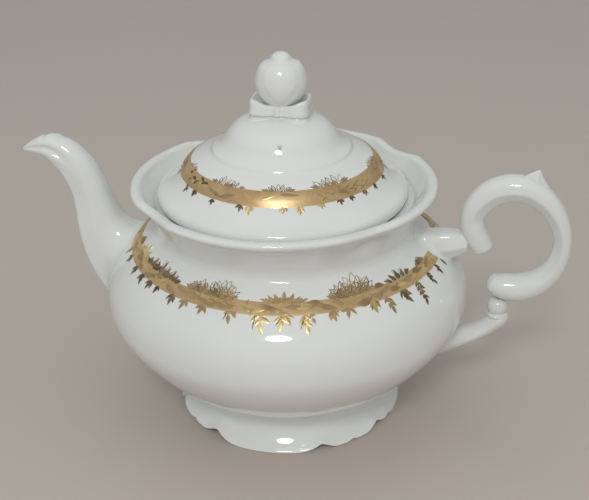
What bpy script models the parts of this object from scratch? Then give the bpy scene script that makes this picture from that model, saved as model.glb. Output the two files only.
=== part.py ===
"""Porcelain teapot with a lift-off lid: a hollow belly on a scalloped foot, a
flared lobed collar that the lid sits down in, an S-shaped spout with a hooded
mouth, a C-scroll handle and a bud-shaped knob on a bow.

Metres, +Z up. The spout points to -X and the handle to +X. The origin is on the
table, under the middle of the pot's bounding box."""

import math

import bmesh
import bpy
import numpy as np
from mathutils import Vector

MM = 0.001
GAP = 0.3  # left between neighbouring castings, mm

# Driving dimensions, mm
AXIS_X = -0.4  # belly axis, so that spout and handle reach equally far from x = 0
BELLY_R = 85.4
WALL = 3.6
NECK_Z = 97.0
NECK_R = 60.0
THROAT_R = 54.0
SEAT_Z = 107.7
RIM_R = 69.8
RIM_Z = 115.8
RIM_NOTCH_DEEP = 1.6  # the rim is a quatrefoil, pinched in at four diagonals
RIM_NOTCH_DIP = 1.7
RIM_NOTCH_HALF = 15.0  # degrees
FOOT_R = 54.9
FOOT_NOTCH_DEEP = 1.3
FOOT_NOTCH_LIFT = 5.0  # how far a notch between two foot lobes clears the table
FOOT_SMALL_HALF = 17.5  # half of a small lobe, degrees; the large ones fill the rest
LID_R = 57.5
LID_TOP_Z = 147.0
LID_SHIFT = -1.4  # the lid lies a little towards the spout in its seat
FLANGE_R = 50.6
FLANGE_Z = 99.5
VENT_R = 1.6
KNOB_R = 11.6
KNOB_Z = 162.6
KNOB_TOP = 174.6
HANDLE_HALF_WIDTH = 6.6
STRAINER_HOLE_R = 2.2

for stale in list(bpy.data.objects):
    bpy.data.objects.remove(stale, do_unlink=True)


# ---------------------------------------------------------------- helpers
def smooth(points, count):
    """Points along a centripetal Catmull-Rom curve through the given ones."""
    p = [np.array(q, float) for q in points]
    p = [2 * p[0] - p[1]] + p + [2 * p[-1] - p[-2]]
    knots = [0.0]
    for a, b in zip(p, p[1:]):
        knots.append(knots[-1] + max(np.linalg.norm(b - a), 1e-9) ** 0.5)
    out = []
    for t in np.linspace(knots[1], knots[-2], count):
        i = max(1, min(len(p) - 3, int(np.searchsorted(knots, t, side="right")) - 1))
        t0, t1, t2, t3 = knots[i - 1 : i + 3]
        p0, p1, p2, p3 = p[i - 1 : i + 3]
        a1 = (t1 - t) / (t1 - t0) * p0 + (t - t0) / (t1 - t0) * p1
        a2 = (t2 - t) / (t2 - t1) * p1 + (t - t1) / (t2 - t1) * p2
        a3 = (t3 - t) / (t3 - t2) * p2 + (t - t2) / (t3 - t2) * p3
        b1 = (t2 - t) / (t2 - t0) * a1 + (t - t0) / (t2 - t0) * a2
        b2 = (t3 - t) / (t3 - t1) * a2 + (t - t1) / (t3 - t1) * a3
        out.append((t2 - t) / (t2 - t1) * b1 + (t - t1) / (t2 - t1) * b2)
    return np.array(out)


def offset(profile, distance):
    """A profile moved to the left of its direction of travel."""
    tangent = np.gradient(profile, axis=0)
    tangent /= np.maximum(np.hypot(*tangent.T)[:, None], 1e-9)
    return profile + distance * np.stack([-tangent[:, 1], tangent[:, 0]], -1)


def finish(name, bm, colour, roughness, hide=False, sharp=35):
    bmesh.ops.recalc_face_normals(bm, faces=bm.faces)
    mesh = bpy.data.meshes.new(name)
    bm.to_mesh(mesh)
    bm.free()
    obj = bpy.data.objects.new(name, mesh)
    bpy.context.scene.collection.objects.link(obj)
    mesh.shade_smooth()
    mesh.set_sharp_from_angle(angle=math.radians(sharp))
    if hide:
        obj.hide_render = True
        obj.display_type = "WIRE"
        return obj
    material = bpy.data.materials.new(name)
    material.use_nodes = True
    shader = material.node_tree.nodes["Principled BSDF"]
    shader.inputs["Base Color"].default_value = (*colour, 1)
    shader.inputs["Roughness"].default_value = roughness
    shader.inputs["Metallic"].default_value = 0
    mesh.materials.append(material)
    return obj


def lathe(rows, segments, shape=None, centre=(0.0, 0.0), closed=False, turn=0.0):
    """A turned body. rows are (radius, height) in mm, and a radius of 0 makes a
    pole. shape(radius, height, angle) may wave the ring."""
    bm = bmesh.new()
    rings = []
    for r, z in rows:
        if r <= 1e-6:
            rings.append([bm.verts.new(((centre[0]) * MM, centre[1] * MM, z * MM))])
            continue
        ring = []
        for k in range(segments):
            angle = 2 * math.pi * (k + turn) / segments
            rr, zz = shape(r, z, angle) if shape else (r, z)
            ring.append(
                bm.verts.new(
                    (
                        (centre[0] + rr * math.cos(angle)) * MM,
                        (centre[1] + rr * math.sin(angle)) * MM,
                        zz * MM,
                    )
                )
            )
        rings.append(ring)
    pairs = list(zip(rings, rings[1:]))
    if closed:
        pairs.append((rings[-1], rings[0]))
    for a, b in pairs:
        for k in range(segments):
            n = (k + 1) % segments
            if len(a) == 1 and len(b) == 1:
                continue
            if len(a) == 1:
                bm.faces.new((a[0], b[k], b[n]))
            elif len(b) == 1:
                bm.faces.new((a[k], b[0], a[n]))
            else:
                bm.faces.new((a[k], b[k], b[n], a[n]))
    return bm


def sweep(stations, section, flip=1.0):
    """A solid along stations of (x, z, in-plane half thickness, half width) in
    the XZ plane. section gives (across, outward) pairs of unit size."""
    bm = bmesh.new()
    path = np.array([(s[0], s[1]) for s in stations])
    tangent = np.gradient(path, axis=0)
    tangent /= np.hypot(*tangent.T)[:, None]
    normal = flip * np.stack([-tangent[:, 1], tangent[:, 0]], -1)
    rings = []
    for (x, z, thick, width), n in zip(stations, normal):
        rings.append(
            [
                bm.verts.new(
                    (
                        (x + n[0] * o * thick) * MM,
                        a * width * MM,
                        (z + n[1] * o * thick) * MM,
                    )
                )
                for a, o in section
            ]
        )
    for a, b in zip(rings, rings[1:]):
        for k in range(len(section)):
            n = (k + 1) % len(section)
            bm.faces.new((a[k], b[k], b[n], a[n]))
    for ring in (rings[0], rings[-1]):
        middle = sum((v.co for v in ring), Vector()) / len(ring)
        centre = bm.verts.new(middle)
        for k in range(len(ring)):
            bm.faces.new((ring[k], ring[(k + 1) % len(ring)], centre))
    return bm


def ellipse_section(count):
    return [
        (math.sin(2 * math.pi * k / count), math.cos(2 * math.pi * k / count))
        for k in range(count)
    ]


def cut(target, cutter):
    modifier = target.modifiers.new(cutter.name, "BOOLEAN")
    modifier.operation = "DIFFERENCE"
    modifier.solver = "EXACT"
    modifier.object = cutter


WHITE = (0.78, 0.80, 0.78)


# ---------------------------------------------------------------- pot body
BELLY = smooth(
    [
        (36.0, 13.6), (44.0, 17.0), (56.0, 21.8), (66.0, 29.6), (73.5, 37.6),
        (80.6, 47.2), (84.5, 55.0), (BELLY_R, 61.0), (84.3, 69.0), (80.2, 77.0),
        (73.2, 84.4), (67.6, 88.6), (63.0, 91.9), (60.4, 94.6), (NECK_R, NECK_Z),
    ],
    16,
)  # fmt: skip
BELLY_INSIDE = offset(BELLY, WALL)[1:]
body_rows = (
    [(0.0, 12.0), (20.0, 12.2)]
    + [tuple(p) for p in BELLY]
    + [(THROAT_R + 1.0, NECK_Z)]
    + [tuple(p) for p in BELLY_INSIDE[::-1] if p[1] < NECK_Z - 3]
    + [(30.0, 16.2), (0.0, 15.8)]
)
SHOULDER = finish(
    "pot_body", lathe(body_rows, 44, centre=(AXIS_X, 0)), WHITE, 0.08
)

# The belly grown by the gap, which trims what is stuck onto it.
grown_rows = (
    [(0.0, 11.7), (20.0, 11.9)]
    + [tuple(p) for p in offset(BELLY, -GAP)]
    + [(NECK_R + GAP, NECK_Z + GAP), (0.0, NECK_Z + GAP)]
)
grown_belly = finish(
    "trim_belly", lathe(grown_rows, 44, centre=(AXIS_X, 0)), WHITE, 0.1, hide=True
)

# Strainer holes through the wall behind the spout
STRAINER_Z = 64.0
for index in range(7):
    ring = 0.0 if index == 0 else 7.4
    turn = math.radians(60 * index)
    y, z = ring * math.cos(turn), STRAINER_Z + ring * math.sin(turn)
    bm = bmesh.new()
    bmesh.ops.create_cone(
        bm, cap_ends=True, cap_tris=False, segments=8,
        radius1=STRAINER_HOLE_R * MM, radius2=STRAINER_HOLE_R * MM, depth=16 * MM,
    )  # fmt: skip
    for v in bm.verts:
        v.co = Vector((v.co.z + (AXIS_X - 83.5) * MM, v.co.x + y * MM, v.co.y + z * MM))
    hole = finish(f"trim_strainer_{index}", bm, WHITE, 0.1, hide=True)
    cut(SHOULDER, hole)


# ---------------------------------------------------------------- collar
def rim_pinch(angle):
    """1 at the middle of a notch, on the diagonals, falling to 0 beside it."""
    away = abs(math.degrees(angle) % 90.0 - 45.0)
    return max(0.0, 1.0 - (away / RIM_NOTCH_HALF) ** 2) ** 2


def rim_wave(r, z, angle):
    share = min(1.0, max(0.0, (z - 100.0) / 14.0)) if r > 59.9 else 0.0
    pinch = share * rim_pinch(angle)
    return r - RIM_NOTCH_DEEP * pinch, z - RIM_NOTCH_DIP * pinch * share


collar_rows = [
    (THROAT_R, SEAT_Z), (THROAT_R, NECK_Z + GAP), (NECK_R - 0.2, NECK_Z + GAP),
    (61.2, 102.0), (63.8, 107.0), (67.0, 111.3), (RIM_R, 114.2), (RIM_R - 0.4, RIM_Z - 0.2),
    (RIM_R - 1.6, RIM_Z), (RIM_R - 4.0, 114.4), (62.4, 111.4), (59.8, SEAT_Z + 1.0), (59.0, SEAT_Z),
]  # fmt: skip
finish(
    "gallery_collar",
    lathe(collar_rows, 72, rim_wave, (AXIS_X, 0), closed=True, turn=0.5),
    WHITE,
    0.08,
)


# ---------------------------------------------------------------- foot
def foot_notch(angle):
    """1 in a notch. Small lobes stand on the diagonals and large ones between,
    and a notch is steep on the small lobe's side and long on the large one's."""
    away = abs((math.degrees(angle) + 45.0) % 90.0 - 45.0)  # from a large lobe's middle
    away = 45.0 - away - FOOT_SMALL_HALF  # from the notch, positive on the large side
    reach = 14.0 if away > 0 else 7.0
    return max(0.0, 1.0 - abs(away) / reach) ** 1.6


def foot_wave(r, z, angle):
    notch = foot_notch(angle)
    share = max(0.0, 1.0 - z / 12.0)
    return (
        r - FOOT_NOTCH_DEEP * notch * share,
        z + FOOT_NOTCH_LIFT * notch * max(0.0, 1.0 - z / 9.0),
    )


# The foot's top follows the belly's underside.
foot_rows = [
    (39.5, float(np.interp(39.5, BELLY[:, 0], BELLY[:, 1])) - 0.6),
    (46.5, float(np.interp(46.5, BELLY[:, 0], BELLY[:, 1])) - 0.6),
    (46.2, 15.0), (47.2, 10.5), (50.2, 5.4), (FOOT_R - 0.9, 1.6), (FOOT_R, 0.7), (FOOT_R - 0.6, 0.0),
    (FOOT_R - 3.6, 0.0), (FOOT_R - 4.4, 0.8), (46.4, 5.2), (43.0, 9.6), (40.6, 12.6),
]  # fmt: skip
finish(
    "foot_ring",
    lathe(foot_rows, 72, foot_wave, (AXIS_X, 0), closed=True, turn=0.5),
    WHITE,
    0.1,
)

# ---------------------------------------------------------------- spout
SPOUT = smooth(
    [
        (-70.0, 63.0, 24.0, 19.0), (-79.5, 68.0, 21.0, 16.5), (-87.0, 75.2, 16.8, 13.6),
        (-92.2, 84.3, 12.9, 11.2), (-95.0, 94.5, 10.2, 9.5), (-97.4, 104.2, 8.9, 8.3),
        (-101.3, 113.0, 8.3, 7.9), (-107.0, 120.1, 7.5, 7.3), (-113.8, 124.0, 6.3, 6.6),
        (-120.4, 124.0, 4.2, 5.0), (-125.6, 122.9, 2.2, 3.2), (-128.6, 121.9, 1.0, 1.7),
    ],
    17,
)  # fmt: skip
spout = finish("spout", sweep(SPOUT + [AXIS_X, 0, 0, 0], ellipse_section(16)), WHITE, 0.08)
cut(spout, grown_belly)
BORE = smooth(
    [
        (-66.0, 61.0, 19.0, 14.0), (-78.0, 67.0, 15.6, 12.0), (-86.6, 75.0, 11.8, 9.6),
        (-92.4, 84.5, 8.4, 7.6), (-95.9, 94.5, 6.4, 6.2), (-98.6, 103.6, 5.3, 5.2),
        (-102.4, 111.4, 4.6, 4.8), (-108.6, 116.2, 4.2, 4.6), (-117.0, 117.4, 4.0, 4.4),
        (-128.0, 114.4, 4.4, 4.4),
    ],
    14,
)  # fmt: skip
bore = finish(
    "trim_spout_bore", sweep(BORE + [AXIS_X, 0, 0, 0], ellipse_section(14)), WHITE, 0.1, hide=True
)
cut(spout, bore)

# ---------------------------------------------------------------- handle
W = HANDLE_HALF_WIDTH
LOOP = smooth(
    [
        (93.8, 88.8, 1.6, 2.4), (91.8, 87.6, 3.4, 4.2), (88.4, 88.8, 4.6, 5.2), (85.8, 92.8, 5.2, 5.8),
        (84.6, 99.5, 5.4, 6.2), (87.2, 108.0, 5.8, W), (93.0, 114.4, 6.2, W),
        (101.0, 117.4, 6.3, W), (109.4, 116.6, 6.0, W), (116.6, 112.0, 5.4, W),
        (122.2, 104.8, 4.7, 6.2), (125.3, 95.8, 4.1, 6.0), (125.0, 86.4, 4.3, 6.0),
        (121.6, 77.8, 5.0, 6.3), (115.2, 71.4, 5.8, W), (107.4, 68.4, 6.2, W),
        (100.6, 68.6, 5.4, 6.2), (96.6, 70.0, 3.2, 4.4),
    ],
    40,
)  # fmt: skip
# Across by outward: a crowned back, a crease at the widest, a taper to a narrow
# inner edge.
WEDGE = [
    (0.0, 1.0), (0.62, 0.86), (1.0, 0.22), (0.72, -0.5), (0.36, -1.0),
    (-0.36, -1.0), (-0.72, -0.5), (-1.0, 0.22), (-0.62, 0.86),
]  # fmt: skip
handle = finish("handle_loop", sweep(LOOP + [AXIS_X, 0, 0, 0], WEDGE), WHITE, 0.08)

# Thumb spur on the crown of the loop
spur_path = smooth([(106.6, 121.0, 3.0, 3.4), (109.6, 123.6, 2.8, 2.8), (112.4, 126.6, 1.3, 1.5)], 5)
spur = finish(
    "trim_spur", sweep(spur_path + [AXIS_X, 0, 0, 0], ellipse_section(8)), WHITE, 0.1, hide=True
)
join = handle.modifiers.new("spur", "BOOLEAN")
join.operation = "UNION"
join.solver = "EXACT"
join.object = spur

# The loop grown by the gap, which trims the lug and the bead.
grown_loop = finish(
    "trim_loop",
    sweep(
        np.array([(x + AXIS_X, z, t + 0.45, w + 0.45) for x, z, t, w in LOOP]),
        WEDGE,
    ),
    WHITE,
    0.1,
    hide=True,
)

LUG = smooth(
    [(62.0, 87.4, 6.6, 6.4), (70.0, 87.6, 7.0, 7.4), (77.0, 88.4, 6.6, 7.0), (82.4, 89.6, 5.2, 5.4)], 6
)
lug = finish(
    "handle_lug", sweep(LUG + [AXIS_X, 0, 0, 0], ellipse_section(14)), WHITE, 0.08
)
cut(lug, grown_belly)
cut(lug, grown_loop)

BEAD_X, BEAD_Z, BEAD_R = 100.2 + AXIS_X, 57.6, 5.6
bm = bmesh.new()
bmesh.ops.create_uvsphere(bm, u_segments=16, v_segments=9, radius=BEAD_R * MM)
for v in bm.verts:
    v.co = Vector((v.co.x + BEAD_X * MM, v.co.y, v.co.z * 0.86 + BEAD_Z * MM))
bead = finish("handle_bead", bm, WHITE, 0.08)
cut(bead, grown_loop)
bm = bmesh.new()
bmesh.ops.create_uvsphere(bm, u_segments=16, v_segments=9, radius=(BEAD_R + 0.4) * MM)
for v in bm.verts:
    v.co = Vector((v.co.x + BEAD_X * MM, v.co.y, v.co.z * 0.86 + BEAD_Z * MM))
grown_bead = finish("trim_bead", bm, WHITE, 0.1, hide=True)

STRUT = smooth(
    [
        (100.4, 56.0, 3.8, 4.0), (98.6, 50.4, 4.2, 4.6), (94.2, 45.4, 4.2, 5.0),
        (87.6, 41.4, 4.6, 5.6), (80.4, 38.6, 5.8, 6.6), (72.0, 36.6, 7.8, 8.0), (64.0, 35.6, 9.0, 9.0),
    ],
    10,
)  # fmt: skip
strut = finish(
    "handle_strut", sweep(STRUT + [AXIS_X, 0, 0, 0], ellipse_section(12)), WHITE, 0.08
)
cut(strut, grown_belly)
cut(strut, grown_bead)

# ---------------------------------------------------------------- lid
LID_X = AXIS_X + LID_SHIFT
LID_LIFT_AXIS = bpy.data.objects.new("lid_lift_axis", None)
LID_LIFT_AXIS.location = (LID_X * MM, 0, SEAT_Z * MM)
bpy.context.scene.collection.objects.link(LID_LIFT_AXIS)

LID_TOP = smooth(
    [
        (7.2, 146.6), (13.5, 145.6), (20.0, 143.0), (24.8, 138.6), (27.6, 134.8), (29.6, 133.1),
        (31.2, 132.1), (32.0, 130.8), (34.2, 129.6), (38.6, 127.9), (42.4, 126.1), (44.8, 123.8),
        (46.4, 121.0), (47.4, 118.2), (49.6, 116.2), (52.8, 114.4), (55.9, 113.0), (57.2, 111.9),
    ],
    16,
)  # fmt: skip
LID_INSIDE = [
    (0.0, 143.4), (9.0, 142.6), (16.0, 140.4), (21.0, 136.6), (24.4, 131.6), (28.0, 128.6),
    (34.0, 126.2), (40.0, 123.0), (43.0, 118.6), (45.4, 112.0), (46.2, SEAT_Z + GAP),
]  # fmt: skip
lid_rows = (
    [(0.0, LID_TOP_Z)]
    + [tuple(p) for p in LID_TOP]
    + [(LID_R, 110.6), (LID_R - 0.5, 108.8), (LID_R - 1.3, SEAT_Z + GAP)]
    + LID_INSIDE[::-1]
)
lid = finish("lid_shell", lathe(lid_rows, 40, centre=(LID_X, 0)), WHITE, 0.08)

# Steam vent on the front of the upper dome, straight down through its wall
bm = bmesh.new()
bmesh.ops.create_cone(
    bm, cap_ends=True, cap_tris=False, segments=8,
    radius1=VENT_R * MM, radius2=VENT_R * MM, depth=14 * MM,
)  # fmt: skip
for v in bm.verts:
    v.co = Vector((v.co.x + LID_X * MM, v.co.y - 20.6 * MM, v.co.z + 138.0 * MM))
cut(lid, finish("trim_vent", bm, WHITE, 0.1, hide=True))

# The flange under the lid, which keeps it in the throat when the pot is tilted
flange_rows = [
    (FLANGE_R, SEAT_Z), (FLANGE_R, FLANGE_Z + 1.2), (FLANGE_R - 0.8, FLANGE_Z),
    (FLANGE_R - 2.8, FLANGE_Z), (FLANGE_R - 3.6, FLANGE_Z + 1.2), (FLANGE_R - 3.6, SEAT_Z),
]  # fmt: skip
finish("lid_flange", lathe(flange_rows, 40, centre=(LID_X, 0), closed=True), WHITE, 0.1)


# The bow under the knob: two loops and a middle fold, standing on the dome
def dome_z(r):
    rr = [0.0] + [p[0] for p in LID_TOP]
    zz = [LID_TOP_Z] + [p[1] for p in LID_TOP]
    return float(np.interp(r, rr, zz))


bm = bmesh.new()
BOW_HALF = 13.6
rings = []
for k in range(15):
    u = -1 + 2 * k / 14
    x = BOW_HALF * u
    side = min(1.0, abs(u) / 0.78)
    top = 149.9 + 4.6 * max(0.0, (abs(u) - 0.5) / 0.34) ** 1.2 * (1 if abs(u) < 0.86 else 0.92)
    top = min(top, 154.6)
    half = 4.6 + 1.8 * math.sin(math.pi * side) if abs(u) < 0.99 else 3.4
    ring = []
    for a, h in (
        (1, 0.0), (1.12, 0.5), (0.8, 0.95), (0, 1.0), (-0.8, 0.95), (-1.12, 0.5), (-1, 0.0), (0, 0.0),
    ):  # fmt: skip
        y = a * half
        floor = dome_z(math.hypot(x, y)) + GAP + 0.15
        ring.append(bm.verts.new(((LID_X + x) * MM, y * MM, (floor + (top - floor) * h) * MM)))
    rings.append(ring)
for a, b in zip(rings, rings[1:]):
    for k in range(8):
        n = (k + 1) % 8
        bm.faces.new((a[k], b[k], b[n], a[n]))
for ring in (rings[0], rings[-1]):
    bm.faces.new(ring)
finish("knob_bow", bm, WHITE, 0.08)


# The bud: overlapping petals drawn as a gentle five-fold wave
def bud_wave(r, z, angle):
    height = (z - 150.4) / (KNOB_TOP - 150.4)
    wave = 0.035 * math.sin(5 * angle + 4.0 * height) * math.sin(math.pi * min(1, height))
    return r * (1 + wave), z


bud_rows = [(0.0, KNOB_TOP)] + [
    tuple(p)
    for p in smooth(
        [
            (2.6, 174.2), (5.6, 172.6), (8.6, 170.2), (10.8, 166.8), (KNOB_R, KNOB_Z),
            (11.2, 158.6), (9.2, 154.8), (7.0, 152.0), (5.4, 150.6),
        ],
        10,
    )
] + [(0.0, 150.4)]  # fmt: skip
finish("knob_bud", lathe(bud_rows, 25, bud_wave, (LID_X, 0)), WHITE, 0.08)

for name in ("lid_shell", "lid_flange", "knob_bow", "knob_bud"):
    piece = bpy.data.objects[name]
    piece.parent = LID_LIFT_AXIS
    piece.matrix_parent_inverse = LID_LIFT_AXIS.matrix_world.inverted()
bpy.context.view_layer.update()
for name in ("lid_shell", "lid_flange", "knob_bow", "knob_bud"):
    piece = bpy.data.objects[name]
    piece.matrix_parent_inverse = LID_LIFT_AXIS.matrix_world.inverted()
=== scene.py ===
"""The looks of a gilt porcelain teapot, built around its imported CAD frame."""

import math

import bmesh
import bpy
import numpy as np
from mathutils import Matrix, Vector


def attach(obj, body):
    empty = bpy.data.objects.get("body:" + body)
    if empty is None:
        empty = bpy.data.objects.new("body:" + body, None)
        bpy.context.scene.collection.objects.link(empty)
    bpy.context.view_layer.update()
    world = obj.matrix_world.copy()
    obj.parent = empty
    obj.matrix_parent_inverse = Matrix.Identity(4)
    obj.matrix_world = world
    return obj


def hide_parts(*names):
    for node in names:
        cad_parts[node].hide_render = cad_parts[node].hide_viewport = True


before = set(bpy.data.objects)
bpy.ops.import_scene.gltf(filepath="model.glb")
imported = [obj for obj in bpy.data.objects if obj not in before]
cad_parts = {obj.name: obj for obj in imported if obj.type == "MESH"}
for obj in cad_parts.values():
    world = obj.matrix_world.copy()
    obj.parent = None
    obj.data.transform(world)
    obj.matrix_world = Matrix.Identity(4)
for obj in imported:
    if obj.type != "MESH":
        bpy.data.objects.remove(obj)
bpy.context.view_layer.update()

MM = 0.001
AX = -0.4  # the pot's turning axis, mm in X
LID_X = -1.8  # the lid's axis: it lies a little towards the spout
RIM_SHIFT = -0.8  # the collar's lip leans the same way
rng = np.random.default_rng(11)


# ---------------------------------------------------------------- curves
def curve(points, step, dims=2):
    """Points about `step` apart on a centripetal Catmull-Rom through the given
    ones. Columns past `dims` ride along, such as a thickness and a width."""
    p = np.array(points, float)
    p = np.vstack([2 * p[0] - p[1], p, 2 * p[-1] - p[-2]])
    gaps = np.maximum(np.linalg.norm(np.diff(p[:, :dims], axis=0), axis=1), 1e-6)
    k = np.concatenate([[0.0], np.cumsum(gaps**0.5)])
    t = np.linspace(k[1], k[-2], 40 * len(p))
    i = np.clip(np.searchsorted(k, t, side="right") - 1, 1, len(p) - 3)
    t0, t1, t2, t3 = (k[i + d][:, None] for d in (-1, 0, 1, 2))
    p0, p1, p2, p3 = (p[i + d] for d in (-1, 0, 1, 2))
    t = t[:, None]
    a1 = (t1 - t) / (t1 - t0) * p0 + (t - t0) / (t1 - t0) * p1
    a2 = (t2 - t) / (t2 - t1) * p1 + (t - t1) / (t2 - t1) * p2
    a3 = (t3 - t) / (t3 - t2) * p2 + (t - t2) / (t3 - t2) * p3
    b1 = (t2 - t) / (t2 - t0) * a1 + (t - t0) / (t2 - t0) * a2
    b2 = (t3 - t) / (t3 - t1) * a2 + (t - t1) / (t3 - t1) * a3
    fine = (t2 - t) / (t2 - t1) * b1 + (t - t1) / (t2 - t1) * b2
    return resample(fine, step=step, dims=dims)


def lengths(line, dims=2):
    return np.concatenate(
        [[0.0], np.cumsum(np.linalg.norm(np.diff(line[:, :dims], axis=0), axis=1))]
    )


def resample(line, step=None, count=None, dims=2):
    s = lengths(line, dims)
    if count is None:
        count = max(2, int(round(s[-1] / step)) + 1)
    at = np.linspace(0, s[-1], count)
    return np.stack([np.interp(at, s, line[:, c]) for c in range(line.shape[1])], -1)


def normals_left(line):
    t = np.gradient(line[:, :2], axis=0)
    t /= np.maximum(np.linalg.norm(t, axis=1)[:, None], 1e-9)
    return np.stack([-t[:, 1], t[:, 0]], -1)


def step_up(x, a, b):
    """0 below a, 1 above b, smooth between."""
    t = np.clip((np.asarray(x, float) - a) / (b - a), 0.0, 1.0)
    return t * t * (3 - 2 * t)


def bump(x, middle, half):
    t = np.clip(1 - np.abs(np.asarray(x, float) - middle) / half, 0.0, 1.0)
    return t * t * (3 - 2 * t)


def around(degrees, middle):
    """Degrees from `middle`, in -180 to 180."""
    return (np.asarray(degrees, float) - middle + 180.0) % 360.0 - 180.0


# ---------------------------------------------------------------- meshes
def grid_faces(rows, cols, close_cols, close_rows=False, start=0):
    faces = []
    for a in range(rows if close_rows else rows - 1):
        b = (a + 1) % rows
        for c in range(cols if close_cols else cols - 1):
            d = (c + 1) % cols
            faces.append(
                (
                    start + a * cols + c,
                    start + a * cols + d,
                    start + b * cols + d,
                    start + b * cols + c,
                )
            )
    return faces


def fan(ring, centre, flip=False):
    n = len(ring)
    return [
        (ring[(k + 1) % n], ring[k], centre) if flip else (ring[k], ring[(k + 1) % n], centre)
        for k in range(n)
    ]


def tube(rings, closed=False):
    """(verts, faces) of rings (rows, cols, 3): a ring of rings if closed, else with its ends capped."""
    rows, cols, _ = rings.shape
    verts = rings.reshape(-1, 3)
    faces = grid_faces(rows, cols, True, closed)
    if not closed:
        verts = np.vstack([verts, rings[0].mean(0), rings[-1].mean(0)])
        first = list(range(cols))
        last = list(range((rows - 1) * cols, rows * cols))
        faces += fan(first, rows * cols, flip=True)
        faces += fan(last, rows * cols + 1)
    return verts, faces


def make(name, verts, faces, material, body, stands_for=(), slot="porcelain_body", sharp=48):
    """A closed mesh, its normals out, riding on a body."""
    mesh = bpy.data.meshes.new(name)
    mesh.from_pydata((np.asarray(verts) * MM).tolist(), [], faces)
    bm = bmesh.new()
    bm.from_mesh(mesh)
    bmesh.ops.recalc_face_normals(bm, faces=bm.faces)
    if len(bm.faces) and bm.calc_volume(signed=True) < 0:
        bmesh.ops.reverse_faces(bm, faces=bm.faces)
    bm.to_mesh(mesh)
    bm.free()
    mesh.shade_smooth()
    mesh.set_sharp_from_angle(angle=math.radians(sharp))
    mesh.materials.append(material)
    obj = bpy.data.objects.new(name, mesh)
    bpy.context.scene.collection.objects.link(obj)
    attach(obj, body)
    if stands_for:
        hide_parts(*stands_for)
    return obj


def lathe(rows, count, wave=None, cx=AX, closed=True):
    """(verts, faces) turned from (radius, height) rows. A row of radius 0 is a pole."""
    rows = np.array(rows, float)
    ang = 2 * np.pi * np.arange(count) / count
    pole0, pole1 = rows[0, 0] < 1e-6, rows[-1, 0] < 1e-6
    body = rows[(1 if pole0 else 0) : (-1 if pole1 else None)]
    r = np.repeat(body[:, :1], count, 1)
    z = np.repeat(body[:, 1:2], count, 1)
    x, y = r * np.cos(ang), r * np.sin(ang)
    if wave:
        x, y, z = wave(r, z, np.repeat(ang[None, :], len(body), 0))
    rings = np.stack([cx + x, y, z], -1)
    if not (pole0 or pole1):
        return tube(rings, closed=closed)
    verts = rings.reshape(-1, 3)
    faces = grid_faces(len(body), count, True, close_rows=False)
    if pole0:
        verts = np.vstack([verts, [cx, 0, rows[0, 1]]])
        faces += fan(list(range(count)), len(verts) - 1, flip=True)
    if pole1:
        verts = np.vstack([verts, [cx, 0, rows[-1, 1]]])
        last = list(range((len(body) - 1) * count, len(body) * count))
        faces += fan(last, len(verts) - 1)
    return verts, faces


def drill(target, cutters):
    """Cuts the cutters out of the target and removes them."""
    for c in cutters:
        m = target.modifiers.new("cut", "BOOLEAN")
        m.operation, m.solver, m.object = "DIFFERENCE", "EXACT", c
    graph = bpy.context.evaluated_depsgraph_get()
    cut = bpy.data.meshes.new_from_object(target.evaluated_get(graph))
    target.modifiers.clear()
    cut.name = target.name
    target.data = cut
    for c in cutters:
        bpy.data.objects.remove(c, do_unlink=True)


def peg(centre, axis, radius, depth, segments=40):
    """A round cutter, in mm."""
    bm = bmesh.new()
    bmesh.ops.create_cone(
        bm,
        cap_ends=True,
        segments=segments,
        radius1=radius * MM,
        radius2=radius * MM,
        depth=depth * MM,
    )
    mesh = bpy.data.meshes.new("peg")
    bm.to_mesh(mesh)
    bm.free()
    obj = bpy.data.objects.new("peg", mesh)
    turn = Vector((0, 0, 1)).rotation_difference(Vector(axis)).to_matrix().to_4x4()
    obj.matrix_world = Matrix.Translation(Vector(centre) * MM) @ turn
    bpy.context.scene.collection.objects.link(obj)
    bpy.context.view_layer.update()
    return obj


# ---------------------------------------------------------------- materials
def nodes_of(name):
    m = bpy.data.materials.new(name)
    m.use_nodes = True
    t = m.node_tree
    shader = t.nodes["Principled BSDF"]
    coord = t.nodes.new("ShaderNodeTexCoord")
    return m, t, shader, coord


def noise(t, coord, scale, detail=3.0, rough=0.5, distort=0.0):
    n = t.nodes.new("ShaderNodeTexNoise")
    n.inputs["Scale"].default_value = scale
    n.inputs["Detail"].default_value = detail
    n.inputs["Roughness"].default_value = rough
    n.inputs["Distortion"].default_value = distort
    t.links.new(coord.outputs["Object"], n.inputs["Vector"])
    return n


def ramp(t, source, stops):
    r = t.nodes.new("ShaderNodeValToRGB")
    e = r.color_ramp.elements
    e[0].position, e[0].color = stops[0][0], (*stops[0][1], 1)
    e[1].position, e[1].color = stops[-1][0], (*stops[-1][1], 1)
    for at, colour in stops[1:-1]:
        n = e.new(at)
        n.color = (*colour, 1)
    t.links.new(source, r.inputs["Fac"])
    return r


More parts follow.
